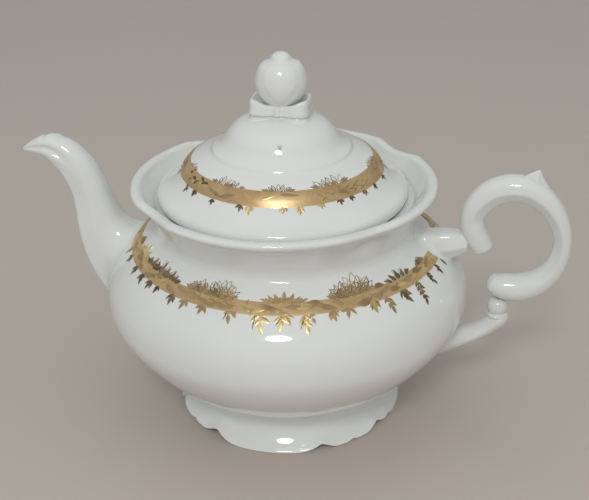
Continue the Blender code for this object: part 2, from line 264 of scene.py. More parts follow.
def porcelain(name, tint, seed):
    """Clear-glazed hard porcelain: a cool white body, a faint long swell in the
    glaze, a fine ripple, and a tone that drifts slightly at random."""
    m, t, shader, coord = nodes_of(name)
    lo = tuple(c * 0.965 for c in tint)
    hi = tuple(min(1.0, c * 1.02) for c in tint)
    broad = noise(t, coord, 13.0 + seed, detail=2.0)
    colour = ramp(t, broad.outputs["Fac"], [(0.3, lo), (0.7, hi)])
    t.links.new(colour.outputs["Color"], shader.inputs["Base Color"])
    fine = noise(t, coord, 420.0, detail=2.0)
    rough = t.nodes.new("ShaderNodeMapRange")
    rough.inputs["To Min"].default_value = 0.055
    rough.inputs["To Max"].default_value = 0.12
    t.links.new(fine.outputs["Fac"], rough.inputs["Value"])
    t.links.new(rough.outputs["Result"], shader.inputs["Roughness"])
    swell = noise(t, coord, 55.0 + seed, detail=1.5, rough=0.4)
    lift = t.nodes.new("ShaderNodeBump")
    lift.inputs["Strength"].default_value = 0.22
    lift.inputs["Distance"].default_value = 0.0004
    t.links.new(swell.outputs["Fac"], lift.inputs["Height"])
    orange = noise(t, coord, 900.0, detail=1.0)
    lift2 = t.nodes.new("ShaderNodeBump")
    lift2.inputs["Strength"].default_value = 0.05
    lift2.inputs["Distance"].default_value = 0.0001
    t.links.new(orange.outputs["Fac"], lift2.inputs["Height"])
    t.links.new(lift.outputs["Normal"], lift2.inputs["Normal"])
    t.links.new(lift2.outputs["Normal"], shader.inputs["Normal"])
    shader.inputs["IOR"].default_value = 1.52
    shader.inputs["Coat Weight"].default_value = 0.25
    shader.inputs["Coat Roughness"].default_value = 0.04
    return m


def gilding(name, dark, mid, light, rough_lo, rough_hi, scale, metal=1.0):
    """Fired-on gold: thin, satin, and unevenly laid, so that its tone drifts."""
    m, t, shader, coord = nodes_of(name)
    drift = noise(t, coord, scale, detail=4.0, rough=0.55, distort=0.6)
    colour = ramp(t, drift.outputs["Fac"], [(0.32, dark), (0.5, mid), (0.7, light)])
    t.links.new(colour.outputs["Color"], shader.inputs["Base Color"])
    fine = noise(t, coord, scale * 9, detail=2.0)
    rough = t.nodes.new("ShaderNodeMapRange")
    rough.inputs["To Min"].default_value = rough_lo
    rough.inputs["To Max"].default_value = rough_hi
    t.links.new(fine.outputs["Fac"], rough.inputs["Value"])
    t.links.new(rough.outputs["Result"], shader.inputs["Roughness"])
    lift = t.nodes.new("ShaderNodeBump")
    lift.inputs["Strength"].default_value = 0.25
    lift.inputs["Distance"].default_value = 0.00008
    t.links.new(fine.outputs["Fac"], lift.inputs["Height"])
    t.links.new(lift.outputs["Normal"], shader.inputs["Normal"])
    shader.inputs["Metallic"].default_value = metal
    return m


WHITE = porcelain("porcelain_pot", (0.735, 0.755, 0.735), 0.0)
WHITE_LID = porcelain("porcelain_lid", (0.745, 0.762, 0.74), 2.0)
GOLD_BAND = gilding(
    "gold_band", (0.62, 0.41, 0.20), (0.72, 0.50, 0.27), (0.80, 0.58, 0.33), 0.34, 0.46, 90.0, 0.85
)
GOLD_SHADE = gilding(
    "gold_shade", (0.36, 0.245, 0.12), (0.48, 0.34, 0.175), (0.62, 0.45, 0.24), 0.34, 0.48, 120.0, 0.8
)
# The pale gold. Some leaves in the print are paler, and this gold is made brighter still as a painted highlight on the
# leaves that face the light.
GOLD_PALE_PAINTED_HIGHLIGHT = gilding(
    "gold_pale_painted_highlight", (0.62, 0.45, 0.20), (0.76, 0.58, 0.27), (0.86, 0.68, 0.34), 0.26, 0.38, 150.0, 0.9
)
# The dark gold of the drawn outlines. The outlines are dark in the print, and this base colour is kept lower still as
# painted shade: it stands in for a dark room mirrored in the metal.
GOLD_LINE_PAINTED_SHADE = gilding(
    "gold_line_painted_shade", (0.13, 0.10, 0.06), (0.24, 0.18, 0.10), (0.46, 0.36, 0.19), 0.25, 0.38, 170.0, 0.9
)


# ---------------------------------------------------------------- the belly's outline
OUTLINE = curve(
    [
        (36.0, 13.6), (44.0, 17.0), (56.0, 21.8), (66.0, 29.6), (73.5, 37.6),
        (80.6, 47.2), (84.5, 55.0), (85.4, 61.0), (84.3, 69.0), (80.2, 77.0),
        (73.2, 84.4), (67.6, 88.6), (63.0, 91.9), (60.4, 94.6), (60.0, 97.3),
        (61.0, 101.6), (63.5, 106.6), (66.4, 110.8), (68.6, 113.2),
    ],
    0.25,
)  # fmt: skip
SEAM = int(np.argmin(np.abs(OUTLINE[:, 1] - 97.15) + (OUTLINE[:, 1] < 90) * 99))
BELLY = OUTLINE[: SEAM + 1]
OUT_N = -normals_left(OUTLINE)  # pointing out of the porcelain
OUT_S = lengths(OUTLINE)
BAND_AT = OUT_S[int(np.argmin(np.hypot(OUTLINE[:, 0] - 70.2, OUTLINE[:, 1] - 86.8)))]


def thin(line, step, keep_last=True):
    """Every so many mm of a fine line, with its very last samples kept for the shading."""
    out = resample(line, step=step)
    if keep_last:
        out = np.vstack([out[:-1], line[-2:-1], line[-1:]])
    return out


def surface(line, line_n, line_s, s, theta, height, cx):
    """Points `height` above a turned outline, at arc length s and angle theta (radians)."""
    r = np.interp(s, line_s, line[:, 0]) + height * np.interp(s, line_s, line_n[:, 0])
    z = np.interp(s, line_s, line[:, 1]) + height * np.interp(s, line_s, line_n[:, 1])
    return np.stack([cx + r * np.cos(theta), r * np.sin(theta), z], -1)


def belly_gap(points):
    """Signed distance from the belly (out is positive), and the nearest outline index."""
    r = np.hypot(points[..., 0] - AX, points[..., 1])
    q = np.stack([r, points[..., 2]], -1)
    sparse = OUTLINE[::2]
    d = np.linalg.norm(q[..., None, :] - sparse, axis=-1)
    k = d.argmin(-1) * 2
    diff = q - OUTLINE[k]
    return (diff * OUT_N[k]).sum(-1), k


def onto_belly(points, height=0.0):
    """The nearest belly points, raised by height, and the belly's normals there."""
    _, k = belly_gap(points)
    r = np.hypot(points[..., 0] - AX, points[..., 1])
    q = np.stack([r, points[..., 2]], -1)
    tan = np.gradient(OUTLINE, axis=0)[k]
    tan /= np.linalg.norm(tan, axis=-1, keepdims=True)
    along = ((q - OUTLINE[k]) * tan).sum(-1)
    base = OUTLINE[k] + tan * along[..., None] + OUT_N[k] * height
    a = np.arctan2(points[..., 1], points[..., 0] - AX)
    place = np.stack([AX + base[..., 0] * np.cos(a), base[..., 0] * np.sin(a), base[..., 1]], -1)
    n = np.stack([OUT_N[k][..., 0] * np.cos(a), OUT_N[k][..., 0] * np.sin(a), OUT_N[k][..., 1]], -1)
    return place, n


# ---------------------------------------------------------------- swept limbs
def stations(points, step):
    """(x, z, thickness, width, ...) along a path, with its left normals."""
    line = curve(points, step)
    return line, normals_left(line)


def sweep_rings(line, normal, section, flip=1.0):
    """Rings of section(k) = (across, outward) arrays, in the XZ plane's frame."""
    rings = []
    for k in range(len(line)):
        across, outward = section(k)
        rings.append(
            np.stack(
                [
                    line[k, 0] + flip * normal[k, 0] * outward * line[k, 2],
                    across * line[k, 3],
                    line[k, 1] + flip * normal[k, 1] * outward * line[k, 2],
                ],
                -1,
            )
        )
    return np.array(rings)


def loop_of(half, count):
    """A closed section from its right half, listed from the outward crest to the
    inward one as (across, outward). Close pairs of points make an edge crisp."""
    right = curve(half, 0.01)
    left = right[::-1] * np.array([-1.0, 1.0])
    whole = np.vstack([right, left[1:]])
    return resample(whole, count=count + 1)[:-1]


def rooted(rings, reach_s, reach_e, rows_body, rows_fillet, sink=0.12):
    """Rings from a limb's free end towards the belly, re-cut so that each line
    along the limb ends in a fillet lying flat on the belly."""
    rows, cols, _ = rings.shape
    out = np.zeros((rows_body + rows_fillet + 1, cols, 3))
    centre = rings.mean(1)
    for c in range(cols):
        line = rings[:, c]
        gap, _ = belly_gap(line)
        inside = np.nonzero(gap < 0)[0]
        k = inside[0] if len(inside) else rows - 1
        k = max(k, 1)
        f = gap[k - 1] / max(gap[k - 1] - gap[k], 1e-9)
        hit = line[k - 1] + f * (line[k] - line[k - 1])
        path = np.vstack([line[:k], hit])
        s = lengths(path, 3)
        a, b = reach_s[c], reach_e[c]
        a = min(a, 0.8 * s[-1])
        start = s[-1] - a
        at = np.linspace(0, start, rows_body)
        part = np.stack([np.interp(at, s, path[:, d]) for d in range(3)], -1)
        out[:rows_body, c] = part
        p0 = part[-1]
        t0 = part[-1] - part[-2]
        t0 /= max(np.linalg.norm(t0), 1e-9)
        _, n = onto_belly(hit[None])
        n = n[0]
        away = hit - centre[min(k, rows - 1)]
        away -= n * (away @ n)
        away /= max(np.linalg.norm(away), 1e-9)
        end, n_end = onto_belly((hit + away * b)[None])
        end, n_end = end[0], n_end[0]
        t1 = away - n_end * (away @ n_end)
        t1 /= max(np.linalg.norm(t1), 1e-9)
        h0, h1 = a * 0.62, b * 0.72
        u = np.linspace(0, 1, rows_fillet + 1)[1:, None]
        q0, q1, q2, q3 = p0, p0 + t0 * h0, end - t1 * h1, end
        bez = (1 - u) ** 3 * q0 + 3 * (1 - u) ** 2 * u * q1 + 3 * (1 - u) * u**2 * q2 + u**3 * q3
        out[rows_body : rows_body + rows_fillet, c] = bez
        out[-1, c] = end + t1 * 0.5 - n_end * (sink + 0.4)
    # the skirt's last visible rows press very slightly into the glaze
    sunk, n = onto_belly(out[rows_body + rows_fillet - 1])
    out[rows_body + rows_fillet - 1] -= n * 0.02
    return out


# ---------------------------------------------------------------- pot body
INNER = BELLY + OUT_N[: SEAM + 1] * -3.4
INNER = INNER[(INNER[:, 1] < 93.5)]
body_rows = np.vstack(
    [
        [(0.0, 12.0), (6.0, 12.0), (12.0, 12.03), (20.0, 12.2), (28.0, 12.7), (33.0, 13.1)],
        thin(BELLY, 0.9),
        [(58.4, 97.15), (55.0, 97.15), (54.2, 96.6), (54.0, 95.6)],
        resample(INNER[::-1], step=1.5),
        [(30.0, 16.4), (20.0, 15.9), (8.0, 15.8), (0.0, 15.8)],
    ]
)
pot_body = make(
    "shell_belly", *lathe(body_rows, 256), WHITE, "pot", ["pot_body"], "porcelain_body"
)
pegs = []
for i in range(7):
    ring = 0.0 if i == 0 else 7.4
    turn = math.radians(60 * i)
    pegs.append(
        peg((AX - 84.0, ring * math.cos(turn), 64 + ring * math.sin(turn)), (1, 0, 0), 2.2, 16)
    )
drill(pot_body, pegs)


# ---------------------------------------------------------------- collar
def rim_wave(r, z, ang):
    deg = np.degrees(ang)
    away = np.abs(deg % 90.0 - 45.0)
    pinch = np.clip(1 - (away / 13.0) ** 2, 0, 1) ** 1.5
    outer = r > 59.4
    share = step_up(z, 98.5, 114.0) * outer
    crown = step_up(z, 108.0, 115.0) * outer
    rr = r - 2.6 * pinch * share + 0.35 * share * np.cos(np.radians(4 * deg))
    zz = z - 1.4 * pinch * crown
    return rr * np.cos(ang) + RIM_SHIFT * share, rr * np.sin(ang), zz


lip = curve(
    [
        (66.9, 111.2), (68.4, 112.1), (69.55, 113.1), (70.05, 114.15), (69.85, 115.0), (69.1, 115.6),
        (67.9, 115.85), (66.6, 115.7), (65.6, 115.2), (64.95, 114.3), (63.9, 112.6), (62.2, 110.6),
        (60.6, 109.1), (59.7, 108.2), (59.0, 107.7),
    ],
    0.35,
)  # fmt: skip
flare = OUTLINE[SEAM:]
flare = flare[flare[:, 1] < 110.9]
collar_rows = np.vstack(
    [
        flare[:1],
        flare[1:2],
        resample(flare, step=0.7)[1:],
        lip,
        [(58.2, 107.5), (56.0, 107.45), (54.8, 107.4), (54.2, 107.1), (54.0, 106.4)],
        [(54.0, 103.0), (54.0, 99.0), (54.1, 97.6), (54.5, 97.15)],
    ]
)
make(
    "collar_rim", *lathe(collar_rows, 320, rim_wave), WHITE, "pot", ["gallery_collar"], sharp=60
)


# ---------------------------------------------------------------- foot
def foot_lift(deg):
    """How far the foot's lower edge stands off the table round its lobes."""
    diag = (np.floor(deg / 90.0)) * 90.0 + 45.0
    b = around(deg, diag)  # from the middle of a small lobe
    spout_side = np.cos(np.radians(diag)) < 0
    small = np.abs(b) < 17.5
    hang = np.where(spout_side, 2.2, 0.3)
    inner = hang + 2.6 * step_up(np.abs(b), 8.5, 17.5) + 0.7 * np.clip(1 - np.abs(b) / 4.0, 0, 1) ** 1.5
    c = np.abs(b) - 17.5
    outer = (hang + 2.6) * np.clip(1 - c / 13.0, 0, 1) ** 1.9
    lift = np.where(small, inner, outer)
    flat = np.minimum(np.abs(around(deg, 17.0)), np.abs(around(deg, -17.0)))
    flat2 = np.minimum(np.abs(around(deg, 163.0)), np.abs(around(deg, -163.0)))
    lift = lift + 1.2 * np.clip(1 - np.minimum(flat, flat2) / 4.5, 0, 1) ** 1.5
    return lift


def foot_pinch(deg):
    """The grooves that run up between lobes."""
    d = np.minimum(
        np.abs(np.abs(around(deg, 0) % 90.0 - 45.0) - 17.5),
        99,
    )
    groove = 0.85 * np.clip(1 - d / 6.0, 0, 1) ** 1.5
    mid = np.abs(around(deg, 0) % 90.0 - 45.0)
    crease = 0.45 * np.clip(1 - mid / 3.2, 0, 1) ** 1.3
    side = np.minimum(np.abs(np.abs(around(deg, 0)) - 17.0), np.abs(np.abs(around(deg, 180)) - 17.0))
    notch = 0.4 * np.clip(1 - side / 4.0, 0, 1) ** 1.4
    return groove + crease + notch


def foot_wave(r, z, ang):
    deg = np.degrees(ang)
    low = np.clip(1 - z / 10.5, 0, 1)
    rr = r - 1.25 * foot_pinch(deg) * low
    zz = z + foot_lift(deg) * low**1.35
    return rr * np.cos(ang), rr * np.sin(ang), zz


foot_outer = curve(
    [
        (47.6, 17.6), (46.4, 15.6), (46.1, 13.6), (46.6, 11.4), (47.8, 8.8), (49.6, 6.2),
        (51.6, 3.9), (53.4, 2.2), (54.5, 1.2), (54.9, 0.6), (54.6, 0.15), (53.9, 0.0),
    ],
    0.45,
)  # fmt: skip
foot_rows = np.vstack(
    [
        foot_outer,
        [(52.6, 0.0), (51.4, 0.0), (50.9, 0.2), (50.3, 1.0), (48.4, 3.1), (46.2, 5.6)],
        [(44.2, 8.3), (42.6, 10.6), (41.2, 13.0), (40.4, 15.6)],
    ]
)
make("foot_scalloped", *lathe(foot_rows, 360, foot_wave), WHITE, "pot", ["foot_ring"], sharp=50)


# ---------------------------------------------------------------- spout
spout_path = [
    (-50, 55.5, 26, 20), (-60, 58.2, 25.5, 20), (-70, 63, 24, 19), (-79.5, 68, 21, 16.5), (-87, 75.2, 16.8, 13.6),
    (-92.2, 84.3, 12.9, 11.2), (-95.0, 94.5, 10.2, 9.5), (-97.4, 104.2, 8.9, 8.3),
    (-101.3, 113.0, 8.3, 7.9), (-107.0, 120.1, 7.5, 7.3), (-113.8, 124.0, 6.3, 6.6),
    (-120.4, 124.0, 4.2, 5), (-125.6, 122.9, 2.2, 3.2), (-128.2, 122.0, 1.1, 1.8),
]  # fmt: skip
line, normal = stations(spout_path[::-1], 0.8)  # from the tip down to the root
t = np.gradient(line[:, :2], axis=0)
s_spout = lengths(line)
COLS = 96
SOFT = loop_of(
    [(0, 1), (0.4, 0.93), (0.72, 0.72), (0.94, 0.36), (1.0, 0.0), (0.94, -0.36), (0.72, -0.72), (0.4, -0.93), (0, -1)],
    COLS,
)  # fmt: skip
RIDGED = loop_of(
    [
        (0, 1.0), (0.36, 0.93), (0.60, 0.82), (0.80, 0.715), (0.85, 0.66), (0.875, 0.57),
        (0.925, 0.28), (0.965, -0.1), (0.90, -0.44), (0.70, -0.76), (0.38, -0.95), (0, -1),
    ],
    COLS,
)  # fmt: skip
HOOD = loop_of(
    [
        (0, 0.92), (0.4, 0.90), (0.72, 0.78), (0.93, 0.54), (1.01, 0.28), (0.98, 0.12),
        (0.84, -0.02), (0.80, -0.16), (0.85, -0.40), (0.74, -0.68), (0.5, -0.88), (0.25, -0.98), (0, -1),
    ],
    COLS,
)  # fmt: skip


def spout_section(k):
    s = s_spout[k]
    hood = step_up(s, 1.0, 5.0) * (1 - step_up(s, 16.0, 30.0))
    ridge = 1 - 0.7 * step_up(s, 84.0, 106.0)
    sec = SOFT * (1 - ridge) + RIDGED * ridge
    sec = sec * (1 - hood) + HOOD * hood
    across, outward = sec[:, 0].copy(), sec[:, 1].copy()
    # small scallops moulded on the beak's crest
    crest = np.clip(-outward - 0.55, 0, 1) / 0.45
    dent = 0.10 * bump(s, 11.6, 1.4) + 0.09 * bump(s, 17.6, 1.5) - 0.03 * bump(s, 9.0, 1.6)
    outward = outward + crest * dent
    # the lower lip swells under the hood
    under = np.clip(outward - 0.6, 0, 1) / 0.4
    outward = outward + under * (0.22 * bump(s, 22.0, 4.5) - 0.06 * bump(s, 12.0, 7.0))
    return across, outward


outer = sweep_rings(line, normal, spout_section, flip=-1.0)
ang = np.degrees(np.arctan2(SOFT[:, 0], SOFT[:, 1]))
# outward +1 is the spout's front, -1 its back, against the shoulder
top_side = np.clip(-SOFT[:, 1], 0, 1)
low_side = np.clip(SOFT[:, 1], 0, 1)
reach_s = 9.0 - 3.0 * top_side + 2.0 * low_side
reach_e = 9.5 - 7.8 * top_side**1.2 - 2.5 * low_side
outer = rooted(outer, reach_s, reach_e, 150, 22)
bore_path = [
    (-66, 61, 19, 14), (-78, 67, 15.6, 12), (-86.6, 75, 11.8, 9.6), (-92.4, 84.5, 8.4, 7.6),
    (-95.9, 94.5, 6.4, 6.2), (-98.6, 103.6, 5.3, 5.2), (-102.4, 111.4, 4.6, 4.8), (-108.6, 116.0, 4.2, 4.6),
    (-115.0, 117.4, 3.4, 4.0), (-119.5, 117.6, 2.6, 3.2),
]  # fmt: skip
bline, bnormal = stations(bore_path[::-1], 1.2)
inner = sweep_rings(bline, bnormal, lambda k: (SOFT[:, 0], SOFT[:, 1]), flip=-1.0)
gap, _ = belly_gap(inner.mean(1))
inner = inner[: int(np.nonzero(gap < 2.0)[0][0]) + 1]
verts_o, faces_o = tube(outer)
spout = make("spout_beak", verts_o, faces_o, WHITE, "pot", ["spout"], sharp=55)
verts_i, faces_i = tube(np.concatenate([inner[:1] + np.array([-6.5, 0, -4.6]), inner, inner[-1:] + np.array([9.0, 0, -5.0])]))
mesh = bpy.data.meshes.new("bore")
mesh.from_pydata((verts_i * MM).tolist(), [], faces_i)
bm = bmesh.new()
bm.from_mesh(mesh)
bmesh.ops.recalc_face_normals(bm, faces=bm.faces)
bm.to_mesh(mesh)
bm.free()
bore = bpy.data.objects.new("bore", mesh)
bpy.context.scene.collection.objects.link(bore)
bpy.context.view_layer.update()
drill(spout, [bore])
spout.data.shade_smooth()
spout.data.set_sharp_from_angle(angle=math.radians(55))


# ---------------------------------------------------------------- handle loop
loop_path = [
    (90.7, 88.3, 4.9, 5.3), (89.5, 90.2, 5.3, 5.7), (87.7, 93.4, 5.5, 6.0), (86.0, 97.4, 5.5, 6.2),
    (85.2, 102.4, 5.4, 6.3), (87.2, 108, 5.8, 6.6), (93, 114.4, 6.2, 6.6), (101, 117.4, 6.3, 6.6),
    (109.4, 116.6, 6, 6.6), (116.6, 112, 5.4, 6.6), (122.2, 104.8, 4.7, 6.2), (125.3, 95.8, 4.1, 6),
    (125, 86.4, 4.3, 6), (121.6, 77.8, 5, 6.3), (115.2, 71.4, 5.8, 6.6), (107.4, 68.4, 6.2, 6.6),
    (101.4, 68.6, 5.8, 6.4), (98.2, 69.2, 4.9, 5.8), (96.8, 69.6, 4.2, 5.0),
]  # fmt: skip
line, normal = stations(loop_path, 0.7)
s_loop = lengths(line)
total = s_loop[-1]
LC = 80
ROUND = loop_of(
    [(0, 1), (0.45, 0.92), (0.8, 0.66), (0.97, 0.3), (1.0, -0.02), (0.93, -0.4), (0.7, -0.75), (0.38, -0.94), (0, -1)],
    LC,
)  # fmt: skip
WEDGE = loop_of(
    [
        (0, 1), (0.36, 0.95), (0.66, 0.78), (0.86, 0.50), (0.965, 0.18), (1.0, 0.02), (0.985, -0.08),
        (0.93, -0.17), (0.70, -0.50), (0.48, -0.80), (0.34, -0.93), (0.2, -0.985), (0, -1.0),
    ],
    LC,
)  # fmt: skip


def loop_section(k):
    s = s_loop[k]
    w = step_up(s, 10.0, 22.0) * (1 - step_up(s, total - 30.0, total - 14.0))
    sec = ROUND * (1 - w) + WEDGE * w
    return sec[:, 0], sec[:, 1]


rings = sweep_rings(line, normal, loop_section)


def dome_end(ring, direction, depth, rows=7):
    """Extra rings that close a limb in a rounded end."""
    centre = ring.mean(0)
    out = []
    for k in range(1, rows + 1):
        a = math.pi / 2 * k / (rows + 0.4)
        out.append(centre + (ring - centre) * math.cos(a) + direction * depth * math.sin(a))
    return np.array(out)


d0 = np.array([line[0, 0] - line[1, 0], 0, line[0, 1] - line[1, 1]])
d1 = np.array([line[-1, 0] - line[-2, 0], 0, line[-1, 1] - line[-2, 1]])
d0 /= np.linalg.norm(d0)
d1 /= np.linalg.norm(d1)
rings = np.concatenate([dome_end(rings[0], d0, 3.2, 12)[::-1], rings, dome_end(rings[-1], d1, 3.0, 12)])
loop = make("handle_scroll", *tube(rings), WHITE, "pot", ["handle_loop"], sharp=60)

# thumb rest: a small leaf standing on the loop's crown
thumb = curve(
    [
        (110.5, 116.0, 7.5, 4.6), (110.6, 118.0, 7.3, 4.4), (110.3, 120.0, 6.4, 4.1), (110.2, 122.0, 5.3, 3.5),
        (110.5, 123.5, 4.1, 2.9), (111.3, 125.0, 2.6, 2.0), (112.0, 126.2, 1.2, 1.1), (112.5, 126.9, 0.4, 0.45),
    ],
    0.35,
)  # fmt: skip
LEAF = loop_of(
    [(0, 1), (0.25, 0.90), (0.6, 0.66), (0.92, 0.38), (0.98, 0.30), (0.9, 0.20), (0.62, -0.10), (0.4, -0.45), (0.2, -0.8), (0, -1)],
    64,
)  # fmt: skip
rings = np.array(
    [np.stack([c + LEAF[:, 1] * h, LEAF[:, 0] * w, np.full(len(LEAF), z)], -1) for c, z, h, w in thumb]
)
make("handle_thumb_leaf", *tube(rings), WHITE, "pot", (), sharp=60)

# ---------------------------------------------------------------- lug, bead, strut
lug_path = [
    (84.2, 89.9, 4.2, 4.6), (83.4, 89.8, 4.9, 5.2), (82.0, 89.5, 5.4, 5.6), (79.4, 89.0, 6.1, 6.3), (76, 88.4, 6.7, 7.0),
    (72.5, 87.8, 7.1, 7.4), (68, 87.3, 7.0, 7.2), (62, 87.0, 6.8, 6.8),
]  # fmt: skip
line, normal = stations(lug_path, 0.6)
GEM = loop_of(
    [
        (0, 1), (0.42, 0.97), (0.66, 0.88), (0.76, 0.74), (0.97, 0.10), (1.0, -0.06), (0.93, -0.22),
        (0.52, -0.86), (0.3, -0.98), (0, -1.0),
    ],
    72,
)  # fmt: skip
rings = sweep_rings(line, normal, lambda k: (GEM[:, 0], GEM[:, 1]), flip=-1.0)
rings = rooted(rings, np.full(72, 3.5), np.full(72, 3.2), 40, 12)
make("handle_upper_lug", *tube(rings), WHITE, "pot", ["handle_lug"], sharp=60)

bead = curve(
    [(0, 62.3), (2.4, 62.0), (3.9, 60.9), (4.6, 59.2), (4.7, 57.4), (4.35, 55.9), (3.9, 55.2), (3.8, 54.7),
     (4.4, 54.2), (4.75, 53.4), (4.4, 52.6), (3.2, 52.0), (0, 51.8)],
    0.2,
)  # fmt: skip
verts, faces = lathe(bead, 72, cx=99.6)
make("handle_bead_knop", verts, faces, WHITE, "pot", ["handle_bead"], sharp=60)

strut_path = [
    (101.6, 55.0, 2.6, 2.6), (101.3, 53.4, 4.0, 4.2), (100.2, 51.2, 4.6, 4.8), (98.4, 49.2, 4.4, 4.8), (94.2, 45.4, 4.2, 5),
    (87.6, 41.4, 4.6, 5.6), (80.4, 38.6, 5.8, 6.6), (72, 36.6, 7.8, 8), (64, 35.6, 9, 9),
]  # fmt: skip
line, normal = stations(strut_path, 0.6)
STEM = loop_of(
    [
        (0, 1), (0.36, 0.88), (0.7, 0.62), (0.93, 0.30), (1.0, 0.06), (0.97, -0.12), (0.8, -0.52),
        (0.5, -0.86), (0.25, -0.97), (0, -1.0),
    ],
    72,
)  # fmt: skip
rings = sweep_rings(line, normal, lambda k: (STEM[:, 0], STEM[:, 1]))
rings = rooted(rings, np.full(72, 4.0), np.full(72, 3.4), 60, 12)
make("handle_lower_strut", *tube(rings), WHITE, "pot", ["handle_strut"], sharp=60)


# ---------------------------------------------------------------- lid
LID_OUT = curve(
    [
        (0, 147), (7.2, 146.6), (13.5, 145.6), (20, 143), (23.7, 139.5), (26.0, 136.2), (28.0, 133.9),
        (30.4, 132.35), (31.3, 131.95), (31.75, 131.5), (31.95, 130.9), (32.35, 130.45), (34.2, 129.65), (38.6, 127.9),
        (42.4, 126.0), (44.8, 123.7), (46.3, 121.4), (48.2, 119.1), (50.5, 117.0), (52.8, 115.4), (55.0, 114.25),
        (56.5, 113.3), (57.35, 112.0), (57.5, 110.6), (57.1, 109.0), (56.2, 108.1),
    ][::-1],
    0.25,
)  # fmt: skip
LID_N = -normals_left(LID_OUT)
LID_S = lengths(LID_OUT)
LID_BAND_AT = LID_S[int(np.argmin(np.hypot(LID_OUT[:, 0] - 44.34, LID_OUT[:, 1] - 124.35)))]
lid_in = curve(
    [(46.2, 107.85), (45.4, 112), (43, 118.6), (40, 123), (34, 126.2), (28, 128.6), (24.4, 131.6), (21, 136.6),
     (16, 140.4), (9, 142.6), (0, 143.4)],
    1.4,
)  # fmt: skip
lid_rows = np.vstack([resample(LID_OUT[::-1], step=0.7), [(55.4, 107.85), (51, 107.8)], lid_in])
lid_shell = make(
    "lid_dome", *lathe(lid_rows, 256, cx=LID_X), WHITE_LID, "lid", ["lid_shell"], "porcelain_lid"
)
drill(lid_shell, [peg((2.6, -23.2, 138), (0, 0, 1), 0.8, 14, 24)])
flange_rows = np.vstack(
    [
        [(47.0, 108.2), (50.2, 108.2), (50.5, 107.6), (50.6, 106), (50.6, 102.0), (50.5, 100.6)],
        [(50.1, 99.8), (49.3, 99.5), (48.2, 99.5), (47.3, 99.9), (47.0, 100.8), (47.0, 104.0)],
    ]
)
make(
    "lid_locating_ring", *lathe(flange_rows, 200, cx=LID_X), WHITE_LID, "lid", ["lid_flange"], "porcelain_lid", sharp=60
)  # fmt: skip


# ---------------------------------------------------------------- knob: bow and bud
def dome_z(r):
    return np.interp(r, LID_OUT[::-1, 0], LID_OUT[::-1, 1])


BC = 260
phi = 2 * np.pi * np.arange(8001) / 8000
cosp, sinp = np.cos(phi), np.sin(phi)


def plan(scale_x, scale_y, ridge):
    """A rounded box in plan, pinched at its waist, with a knot fold at the middle."""
    x = 13.5 * scale_x * np.sign(cosp) * np.abs(cosp) ** 0.5
    waist = 7.6 + 1.3 * step_up(np.abs(x), 1.5, 9.5)
    y = waist * scale_y * np.sign(sinp) * np.abs(sinp) ** 0.42
    y = y + np.sign(sinp) * ridge * np.exp(-((x / 1.1) ** 2)) * (np.abs(sinp) > 0.4)
    return x, y


# even steps round the bow's plan, so that the fold in its middle is resolved
x, y = plan(1.0, 1.0, 2.0)
s_plan = lengths(np.stack([x, y], -1))
phi = np.interp(np.arange(BC) * s_plan[-1] / BC, s_plan, phi)
cosp, sinp = np.cos(phi), np.sin(phi)


def crest(x):
    lift = step_up(np.abs(x), 4.0, 12.2) * 2.4 - 0.9 * step_up(np.abs(x), 12.2, 13.6)
    return 152.2 + lift


rows = []
for share, sx, sy, ridge in (
    (-0.20, 1.06, 1.16, 0.8), (-0.02, 1.05, 1.15, 1.0), (0.07, 1.02, 1.12, 1.1), (0.11, 0.985, 1.03, 1.3),
    (0.16, 0.965, 0.96, 1.45), (0.21, 0.97, 0.955, 1.5), (0.26, 1.0, 1.04, 1.4), (0.31, 1.015, 1.08, 1.35),
    (0.40, 1.0, 1.06, 1.3), (0.55, 0.985, 1.02, 1.25), (0.70, 0.985, 0.99, 1.15), (0.84, 0.995, 0.96, 1.05),
    (0.93, 0.985, 0.92, 0.8), (0.98, 0.965, 0.87, 0.55), (1.0, 0.935, 0.81, 0.35), (0.98, 0.90, 0.74, 0.2),
    (0.9, 0.86, 0.66, 0.1), (0.76, 0.78, 0.54, 0.0), (0.62, 0.62, 0.40, 0.0), (0.55, 0.40, 0.22, 0.0),
):  # fmt: skip
    x, y = plan(sx, sy, ridge)
    low = dome_z(np.hypot(x, y)) - 0.3
    rows.append(np.stack([LID_X + x, y, low + (crest(x) - low) * share], -1))
bow = np.array(rows)
make("knob_ribbon_bow", *tube(bow), WHITE_LID, "lid", ["knob_bow"], "porcelain_lid", sharp=70)

bud = curve(
    [
        (0, 174.6), (2.0, 174.35), (3.6, 173.4), (4.6, 172.2), (5.3, 171.2), (6.6, 170.55), (8.2, 169.7),
        (9.6, 168.2), (10.8, 165.8), (11.5, 163), (11.6, 160.6), (11.0, 157.6), (9.6, 154.6), (7.6, 152.2),
        (5.2, 150.5), (0, 150.0),
    ],
    0.35,
)  # fmt: skip


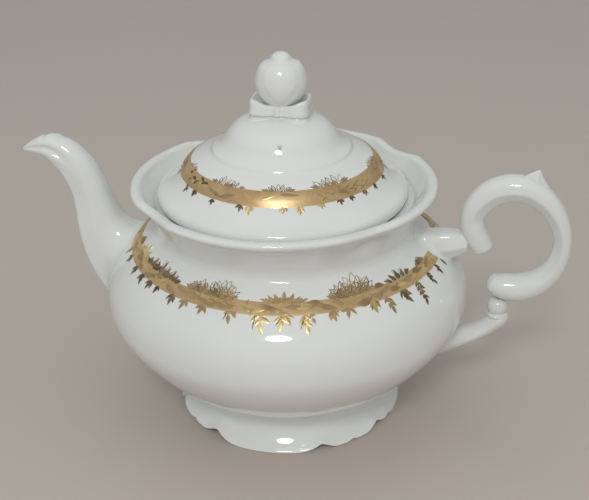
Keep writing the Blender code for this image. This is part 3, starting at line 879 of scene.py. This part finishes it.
def bud_wave(r, z, ang):
    deg = np.degrees(ang)
    height = (z - 150.0) / 24.6
    best = np.zeros_like(r)
    # overlapping petals, each a smooth raised tongue that narrows to a point below
    for middle, half, tip, tilt, proud in (
        (-80, 58, 0.12, 0.0, 0.62), (42, 60, 0.06, 0.25, 0.52), (158, 60, 0.06, -0.25, 0.52),
        (-22, 52, 0.0, 0.35, 0.30), (-138, 52, 0.0, -0.35, 0.32), (100, 48, 0.0, 0.0, 0.28),
    ):  # fmt: skip
        off = around(deg, middle)
        width = half * np.clip((height - tip) / (0.52 - tip), 0, 1) ** 0.62
        width = np.maximum(width, 0.5)
        edge = np.clip((width - np.abs(off)) / 26.0, 0, 1)
        edge = edge * edge * (3 - 2 * edge)
        best = np.maximum(best, proud * edge * (1 + tilt * off / half))
    crown = 1 - step_up(z, 169.2, 171.2)
    r2 = r * (1 - 0.018) + best * np.clip(crown, 0, 1) * step_up(z, 150.2, 152.5) - 0.25 * crown
    notch = 0.35 * step_up(z, 168.0, 170.4) * (1 - step_up(z, 171.4, 173.0)) * np.cos(np.radians(3 * (deg + 84)))
    r2 = r2 + notch
    return r2 * np.cos(ang), r2 * np.sin(ang), z


BUD_X = LID_X + 0.35
make(
    "knob_flower_bud", *lathe(bud, 220, bud_wave, cx=BUD_X), WHITE_LID, "lid", ["knob_bud"], "porcelain_lid", sharp=70
)  # fmt: skip


# ---------------------------------------------------------------- gilding
class Laid:
    """Collects thin closed strokes laid on a turned surface. A point is (u, v):
    u mm round from an angle, and v mm up the outline from the gold band's middle."""

    def __init__(self, line, normal, length, middle, cx):
        self.line, self.n, self.s, self.mid, self.cx = line, normal, length, middle, cx
        self.sets = {}

    def at(self, theta0, uv, height):
        v = self.mid + uv[..., 1]
        r = np.interp(v, self.s, self.line[:, 0])
        return surface(
            self.line, self.n, self.s, v, math.radians(theta0) + uv[..., 0] / r, height, self.cx
        )

    def stroke(self, key, theta0, path, width, height=0.07, depth=0.06):
        """A raised stroke. width is one number, or one for each point of the path."""
        path = np.array(path, float)
        w = np.broadcast_to(np.asarray(width, float), (len(path),))
        joined = resample(np.column_stack([path, w]), step=0.8) if len(path) > 2 else np.column_stack([path, w])
        path, w = joined[:, :2], joined[:, 2]
        t = np.gradient(path, axis=0)
        t /= np.maximum(np.linalg.norm(t, axis=1)[:, None], 1e-9)
        side = np.stack([-t[:, 1], t[:, 0]], -1)
        rows = []
        for off, h in ((1.0, height * 0.25), (0.45, height), (-0.45, height), (-1.0, height * 0.25), (-0.8, -depth), (0.8, -depth)):
            rows.append(self.at(theta0, path + side * (off * w)[:, None], h))
        rings = np.stack(rows, 1)
        verts, faces = tube(rings)
        store = self.sets.setdefault(key, [[], [], 0])
        store[0].append(verts)
        store[1] += [tuple(i + store[2] for i in f) for f in faces]
        store[2] += len(verts)

    def band(self, key, start, end, low, high, height, wobble=0.0):
        """A flat ribbon along the surface, with soft irregular edges."""
        count = max(8, int(abs(end - start) * 1.6))
        theta = np.radians(np.linspace(start, end, count))
        edge = wobble * (np.sin(theta * 23 + 1) * 0.5 + np.sin(theta * 57) * 0.35 + np.sin(theta * 91 + 2) * 0.25)
        rings = []
        levels = np.linspace(0, 1, 11)
        for k in range(count):
            lo, hi = low - edge[k], high + edge[count - 1 - k]
            v = self.mid + lo + (hi - lo) * levels
            h = np.full(11, height)
            h[0] = h[-1] = height * 0.4
            top = surface(self.line, self.n, self.s, v, np.full(11, theta[k]), h, self.cx)
            under = surface(self.line, self.n, self.s, v[::-1], np.full(11, theta[k]), -0.08, self.cx)
            rings.append(np.vstack([top, under]))
        verts, faces = tube(np.array(rings))
        store = self.sets.setdefault(key, [[], [], 0])
        store[0].append(verts)
        store[1] += [tuple(i + store[2] for i in f) for f in faces]
        store[2] += len(verts)

    # -- drawing
    def leaf(self, key, theta0, base, angle, length, width, bend=0.0, height=0.07):
        k = np.linspace(0, 1, 9)
        a = math.radians(angle)
        d = np.array([math.cos(a), math.sin(a)])
        n = np.array([-d[1], d[0]])
        path = np.array(base) + np.outer(k * length, d) + np.outer(bend * length * (k - k**2) * 2, n)
        w = width * np.sin(np.pi * np.clip(0.06 + 0.94 * k, 0, 1) ** 0.8) + 0.05
        self.stroke(key, theta0, path, w, height)

    def petal(self, key, theta0, base, angle, length, width, line=0.17, vein=True, height=0.07):
        """A petal drawn as an outline, pointed at its tip."""
        k = np.linspace(0, 1, 9)
        a = math.radians(angle)
        d = np.array([math.cos(a), math.sin(a)])
        n = np.array([-d[1], d[0]])
        belly = np.sin(np.pi * k**1.15) * width * 0.5
        for side in (1, -1):
            path = np.array(base) + np.outer(k * length, d) + np.outer(side * belly, n)
            self.stroke(key, theta0, path, line + 0.05 * np.sin(np.pi * k), height)
        if vein:
            path = np.array(base) + np.outer(np.array([0.25, 0.5, 0.75]) * length, d)
            self.stroke(key, theta0, path, line * 0.7, height)

    def sprig(self, key, theta0, base, angle, length, size, seed=0, pairs=2, width=0.62):
        """A hanging twig: leaflets on both sides, crowded, and a larger one at its end."""
        r = np.random.default_rng(seed)
        a = math.radians(angle)
        d = np.array([math.cos(a), math.sin(a)])
        n = np.array([-d[1], d[0]])
        k = np.linspace(0, 1, 7)
        sway = r.uniform(-0.18, 0.18) * length
        stem = max(length - size * 0.8, length * 0.35)
        path = np.array(base) + np.outer(k * stem, d) + np.outer(sway * np.sin(np.pi * k), n)
        self.stroke(key, theta0, path, 0.22, 0.07)
        for i in range(pairs):
            f = (i + 0.45) / (pairs + 0.2)
            spot = np.array(base) + d * stem * f + n * sway * math.sin(math.pi * f)
            for side in (1, -1):
                if r.random() < 0.1:
                    continue
                spread = angle + side * r.uniform(30, 66)
                reach = size * r.uniform(0.75, 1.2) * (1.1 - 0.3 * f)
                self.leaf(key, theta0, spot, spread, reach, width * r.uniform(0.8, 1.15), side * 0.16)
                if r.random() < 0.5:
                    self.leaf(key, theta0, spot + d * 0.5, spread - side * 24, reach * 0.55, width * 0.5)
        self.leaf(key, theta0, path[-1] - d * 0.3, angle + r.uniform(-10, 10), size * 1.2, width * 1.2)

    def cluster(self, style, theta0, half, height, seed, foot):
        """A fan of leaves or petals standing on the band's upper edge at v = foot:
        solid gold ("crown", "pale"), solid dark, partly painted shade ("dark"), or drawn in outline ("lines", "open")."""
        r = np.random.default_rng(seed)
        key = {"crown": "shade", "pale": "pale", "dark": "line", "lines": "shade", "open": "shade"}[style]
        if style == "open":
            n = max(4, int(round(half * 1.15)))
            for i in range(n):
                f = 2 * (i + 0.5) / n - 1
                tall = height * (1 - 0.5 * abs(f) ** 1.7) * r.uniform(0.84, 1.08)
                lean = 90 - f * 60 + r.uniform(-12, 12)
                tone = "line" if i % 3 else "shade"
                self.petal(tone, theta0, (f * half * 0.7, foot - 0.3), lean, tall + 0.3, max(1.1, tall * 0.34), 0.11, i % 2 == 0)
                if i % 2:
                    self.petal("shade", theta0, (f * half * 0.8, foot - 0.3), lean + r.uniform(-30, 30), tall * 0.6, 1.0, 0.11, False)
        elif style == "lines":
            # small rosettes drawn in fine outline, one large in the middle
            for u, big in ((0.0, 1.0), (-0.52 * half, 0.72), (0.55 * half, 0.78)):
                n = 9 if big == 1.0 else 7
                for i in range(n):
                    f = 2 * i / (n - 1) - 1
                    lean = 90 - f * 84 + r.uniform(-6, 6)
                    tall = height * big * (1 - 0.22 * abs(f)) * r.uniform(0.88, 1.06)
                    tone = "shade" if r.random() < 0.45 else "line"
                    self.petal(tone, theta0, (u, foot - 0.2), lean, tall, max(1.0, tall * 0.32), 0.12, i % 3 == 0)
                for i in range(n - 2):
                    f = 2 * i / (n - 3) - 1
                    self.petal("shade", theta0, (u, foot - 0.2), 90 - f * 66 + r.uniform(-7, 7), height * big * 0.58, max(0.8, height * 0.14), 0.12, False)
                    if i % 3 == 0:
                        self.leaf("shade", theta0, (u, foot - 0.2), 90 - f * 72 + 9, height * big * 0.42, 0.4)
        else:
            n = 7 if style == "crown" else 5
            for i in range(n):
                f = 2 * i / (n - 1) - 1
                u = f * half * 0.72
                lean = 90 - f * 58 + r.uniform(-7, 7)
                tall = height * (1 - 0.42 * abs(f) ** 1.3) * r.uniform(0.9, 1.06)
                self.leaf(key, theta0, (u, foot - 0.6), lean, tall + 0.6, 1.0 if style == "crown" else 0.85, -0.12 * f)
                self.leaf(key, theta0, (u, foot - 0.6), lean + 27, tall * 0.66, 0.62, 0.1)
                self.leaf(key, theta0, (u, foot - 0.6), lean - 27, tall * 0.66, 0.62, -0.1)
                if style == "dark":
                    self.petal("shade", theta0, (u, foot - 0.3), lean + 13, tall * 1.04, 1.3, 0.12, False)
        for side in (-1, 1):
            self.leaf(key, theta0, (side * half * 0.9, foot - 0.3), 90 - side * 62, min(3.2, height * 0.6), 0.6, side * 0.25)
            self.leaf(key, theta0, (side * half * 0.8, foot - 0.3), 90 - side * 30, min(2.6, height * 0.5), 0.5, side * 0.2)

    def build(self, prefix, mats, body, slot):
        for key, (verts, faces, _) in self.sets.items():
            make(f"{prefix}_{key}", np.vstack(verts), faces, mats[key], body, (), slot, sharp=80)


MATS = {"band": GOLD_BAND, "shade": GOLD_SHADE, "pale": GOLD_PALE_PAINTED_HIGHLIGHT, "line": GOLD_LINE_PAINTED_SHADE}
pot_gold = Laid(OUTLINE, OUT_N, OUT_S, BAND_AT, AX)
pot_gold.band("band", 5.5, 354.5, -3.05, 3.05, 0.05, 0.10)


def mirrored(items):
    """The transfer comes in matching lengths, one for each side of the pot."""
    for item in items:
        yield item, 1
        yield (-item[0] + 4.0, *item[1:]), -1


# clusters along the band's upper edge: angle, half its width and its height (mm), style. The "dark" clusters at the
# sides are partly print and partly painted shade
clusters = [
    (-161, 3.0, 3.4, "lines", 1), (-150.5, 4.6, 6.0, "pale", 2), (-139.5, 4.8, 4.4, "dark", 3), (-132.8, 6.0, 6.2, "dark", 4),
    (-126, 4.8, 4.4, "dark", 5), (-111.5, 5.0, 6.0, "lines", 6), (-102.5, 6.2, 8.4, "lines", 7), (-79.0, 8.2, 5.2, "crown", 8),
    (-57.8, 4.8, 7.2, "lines", 9), (-51.5, 5.6, 10.0, "lines", 10), (-43.0, 2.0, 2.2, "lines", 11), (-32.8, 6.6, 4.6, "dark", 12),
    (-18.0, 2.8, 3.2, "lines", 13),
]  # fmt: skip
for (deg, half, height, style, seed), side in mirrored(clusters):
    pot_gold.cluster(style, deg, half, height, seed, 3.0)

# sprigs hanging below it: angle, length, leaflet, pairs, tone. The tone follows the light: pale at the front is a
# painted highlight, and the dark gold towards the sides is painted shade
sprigs = [
    (-161, 4.6, 2.6, 2, "line", 24), (-155, 4.6, 3.2, 2, "line", 1), (-146, 4.4, 3.0, 2, "line", 2), (-139.5, 4.8, 3.2, 2, "line", 3),
    (-133.2, 3.2, 3.2, 2, "line", 4), (-128.5, 3.0, 2.8, 1, "line", 5), (-120.5, 4.2, 3.4, 2, "line", 6),
    (-114.2, 3.6, 3.6, 2, "shade", 7), (-107, 1.6, 3.8, 2, "shade", 8), (-97.4, 5.0, 3.4, 2, "shade", 9),
    (-88.0, 8.2, 4.6, 2, "pale", 10), (-79.2, 6.4, 4.8, 2, "pale", 11), (-71.8, 8.4, 3.4, 3, "pale", 12),
    (-63.5, 4.0, 3.6, 2, "shade", 13), (-57.5, 2.0, 3.8, 2, "shade", 14), (-48.2, 4.6, 3.2, 2, "pale", 15),
    (-42.7, 7.4, 3.4, 2, "shade", 16), (-36.0, 6.8, 3.6, 3, "line", 17), (-27.0, 11.0, 2.9, 4, "line", 18),
    (-19.5, 6.6, 2.2, 3, "line", 19), (-13.0, 5.6, 2.8, 2, "line", 20), (-5.5, 5.2, 2.6, 2, "line", 21),
]  # fmt: skip
for (deg, length, size, pairs, key, seed), side in mirrored(sprigs):
    lean = -90 + (seed * 53 % 41 - 20)
    pot_gold.sprig(key, deg, (0, -2.4), lean, length, size, seed, pairs, 0.72)
    if seed in (10, 11, 12, 15, 9):
        pot_gold.sprig("shade", deg, (1.2, -2.6), lean + 30, length * 0.55, size * 0.7, seed + 50, 1)
        pot_gold.leaf("line", deg, (-0.5, -3.0), lean - 22, length * 0.8, 0.32)

# leaves printed across the band itself, darker and paler than its ground
r = np.random.default_rng(5)
deg = -170.0
while deg < -7:
    for d in (deg, -deg + 2.0):
        key = "shade" if r.random() < 0.72 else "pale"
        tilt = r.uniform(-38, 38) + (180 if r.random() < 0.5 else 0)
        reach = r.uniform(5.0, 9.0)
        v0 = r.uniform(-1.3, 1.3)
        a = math.radians(tilt)
        base = (-math.cos(a) * reach / 2, v0 - math.sin(a) * reach / 2 * 0.5)
        lean = math.degrees(math.atan2(math.sin(a) * 0.5, math.cos(a)))
        pot_gold.leaf(key, d, base, lean, reach, r.uniform(1.0, 1.9), r.uniform(-0.25, 0.25), 0.10)
        if r.random() < 0.6:
            pot_gold.leaf("shade", d, (r.uniform(-2, 2), r.uniform(-1.5, 1.5)), r.uniform(0, 360), r.uniform(2.5, 4.0), 0.5, 0.1, 0.12)
    deg += r.uniform(3.4, 5.4)
pot_gold.build("gilt_pot", MATS, "pot", "porcelain_body")

lid_gold = Laid(LID_OUT, LID_N, LID_S, LID_BAND_AT, LID_X)
lid_gold.band("band", 0.0, 359.2, -3.7, 3.7, 0.05, 0.10)
for deg, half, height, seed in (
    (-150, 3.6, 2.6, 31), (-116, 4.6, 4.6, 32), (-107.5, 3.8, 3.6, 33), (-80, 5.8, 4.0, 34),
    (-51.5, 4.4, 5.2, 35), (-43, 4.6, 5.8, 36), (-5, 3.6, 2.8, 37),
):  # fmt: skip
    for d in (deg, deg + 180 if -150 < deg < -20 else deg + 151):
        lid_gold.cluster("open", d, half, height, seed, 3.6)
for deg, length, seed in (
    (-141, 3.6, 41), (-133, 3.0, 42), (-117.5, 2.8, 43), (-100, 2.8, 44), (-95.5, 4.0, 45), (-77.5, 2.2, 46),
    (-68.5, 3.6, 47), (-57, 1.4, 48), (-46, 1.4, 49), (-39, 1.2, 50), (-28, 1.6, 51), (-18.5, 2.6, 52),
    (-4, 2.6, 53), (12, 3.2, 54), (30, 3.0, 55), (48, 2.8, 56), (62, 3.4, 57), (80, 2.6, 58), (101, 3.0, 59),
    (118, 2.4, 60), (136, 3.2, 61), (155, 2.8, 62), (172, 3.0, 63), (-165, 2.6, 64),
):  # fmt: skip
    # the sprigs at the lid's front are pale as a painted highlight; the others are in the dark gold
    tone = "pale" if seed in (45, 47, 48) else "line"
    lid_gold.sprig(tone, deg, (0, -3.4), -90 + (seed * 53 % 31 - 15), length, 2.2, seed, 2, 0.5)
r = np.random.default_rng(8)
deg = 0.0
while deg < 356:
    key = "shade" if r.random() < 0.55 else "pale"
    tilt = r.uniform(-30, 30)
    reach = r.uniform(5.0, 9.0)
    a = math.radians(tilt)
    lid_gold.leaf(key, deg, (-math.cos(a) * reach / 2, r.uniform(-1.8, 1.8) - math.sin(a) * reach / 3), tilt, reach, r.uniform(0.7, 1.4), r.uniform(-0.2, 0.2), 0.10)
    deg += r.uniform(8, 14)
for start, count, key, wide in ((-146.0, 6, "line", 0.8), (-62.0, 16, "shade", 0.3), (34.0, 6, "line", 0.8), (118.0, 16, "shade", 0.3)):
    for i in range(count):
        deg = start + (22.0 if count == 6 else 42.0) * i / count
        tilt = r.uniform(8, 40) if i % 2 else r.uniform(-40, -8)
        reach = r.uniform(2.6, 4.6)
        a = math.radians(tilt)
        v0 = r.uniform(-1.6, 2.4) if count == 6 else r.uniform(-2.4, 2.4)
        lid_gold.leaf(key, deg, (-math.cos(a) * reach / 2, v0 - math.sin(a) * reach / 2), tilt, reach, wide * r.uniform(0.8, 1.3), 0.15, 0.11)
lid_gold.build("gilt_lid", MATS, "lid", "porcelain_lid")


# ---------------------------------------------------------------- the setting
def plain(name, tint, rough, scale):
    m, t, shader, coord = nodes_of(name)
    n = noise(t, coord, scale, detail=2.0)
    c = ramp(t, n.outputs["Fac"], [(0.3, tuple(v * 0.985 for v in tint)), (0.7, tint)])
    t.links.new(c.outputs["Color"], shader.inputs["Base Color"])
    shader.inputs["Roughness"].default_value = rough
    return m


bm = bmesh.new()
bmesh.ops.create_circle(bm, cap_ends=True, segments=96, radius=6.0)
mesh = bpy.data.meshes.new("table")
bm.to_mesh(mesh)
bm.free()
mesh.materials.append(plain("table_paint", (0.53, 0.47, 0.425), 0.65, 4.0))
table = bpy.data.objects.new("table", mesh)
table.location = (0, 0, 0)
bpy.context.scene.collection.objects.link(table)

world = bpy.data.worlds.new("room")
world.use_nodes = True
tree = world.node_tree
back = tree.nodes["Background"]
coord = tree.nodes.new("ShaderNodeTexCoord")
split = tree.nodes.new("ShaderNodeSeparateXYZ")
tree.links.new(coord.outputs["Generated"], split.inputs["Vector"])
sky = tree.nodes.new("ShaderNodeValToRGB")
sky.color_ramp.elements[0].position = 0.35
sky.color_ramp.elements[0].color = (0.27, 0.245, 0.22, 1)
sky.color_ramp.elements[1].position = 0.75
sky.color_ramp.elements[1].color = (0.62, 0.64, 0.64, 1)
half = tree.nodes.new("ShaderNodeMapRange")
half.inputs["From Min"].default_value = -1.0
tree.links.new(split.outputs["Z"], half.inputs["Value"])
tree.links.new(half.outputs["Result"], sky.inputs["Fac"])
tree.links.new(sky.outputs["Color"], back.inputs["Color"])
back.inputs["Strength"].default_value = 0.72
bpy.context.scene.world = world


def softbox(name, place, target, size_x, size_y, power, colour=(1, 1, 1)):
    light = bpy.data.lights.new(name, "AREA")
    light.shape = "RECTANGLE"
    light.size, light.size_y = size_x, size_y
    light.energy = power
    light.color = colour
    obj = bpy.data.objects.new(name, light)
    obj.location = place
    obj.rotation_mode = "QUATERNION"
    obj.rotation_quaternion = (Vector(target) - Vector(place)).to_track_quat("-Z", "Y")
    bpy.context.scene.collection.objects.link(obj)
    return obj


softbox("key_window", (0.11, -1.25, 1.25), (0, 0, 0.07), 0.40, 0.27, 6.4, (1.0, 0.99, 0.96)).data.shape = "ELLIPSE"
for name, place, size, power, colour in (
    ("fill_left", (-1.6, -0.9, 1.1), 1.6, 1.7, (0.96, 0.98, 1.0)),
    ("fill_right", (1.6, -0.3, 1.2), 1.6, 3.4, (1.0, 0.97, 0.93)),
    ("fill_top", (-0.2, 0.2, 1.8), 1.8, 4.0, (0.98, 0.99, 1.0)),
    ("fill_front", (0.0, -1.7, 0.75), 1.5, 5.6, (0.99, 0.99, 1.0)),
):
    fill = softbox(name, place, (0, 0, 0.08), size, size, power, colour)
    fill.visible_glossy = False


# ---------------------------------------------------------------- camera
def seen(v):
    """From the camera's own upright frame to the pot's, turned 12 degrees."""
    a = math.radians(12)
    return Vector((v[0] * math.cos(a) - v[1] * math.sin(a) + AX * MM, v[0] * math.sin(a) + v[1] * math.cos(a), v[2]))


UNIT = 0.4765e-3
tilt = math.radians(27)
eye = seen((7.4 * UNIT, -0.4765 * math.cos(tilt), 164 * UNIT + 0.4765 * math.sin(tilt)))
look = seen((7.4 * UNIT, 0, 164 * UNIT))
data = bpy.data.cameras.new("camera")
data.sensor_fit = "HORIZONTAL"
data.sensor_width = 36
data.lens = 1000 * 36 / 589
data.clip_start = 0.01
camera = bpy.data.objects.new("camera", data)
camera.location = eye
camera.rotation_mode = "QUATERNION"
camera.rotation_quaternion = (look - eye).normalized().to_track_quat("-Z", "Y") @ Matrix.Rotation(
    math.radians(-1.0), 3, "Z"
).to_quaternion()
bpy.context.scene.collection.objects.link(camera)
bpy.context.scene.camera = camera
bpy.context.scene.view_settings.view_transform = "Standard"
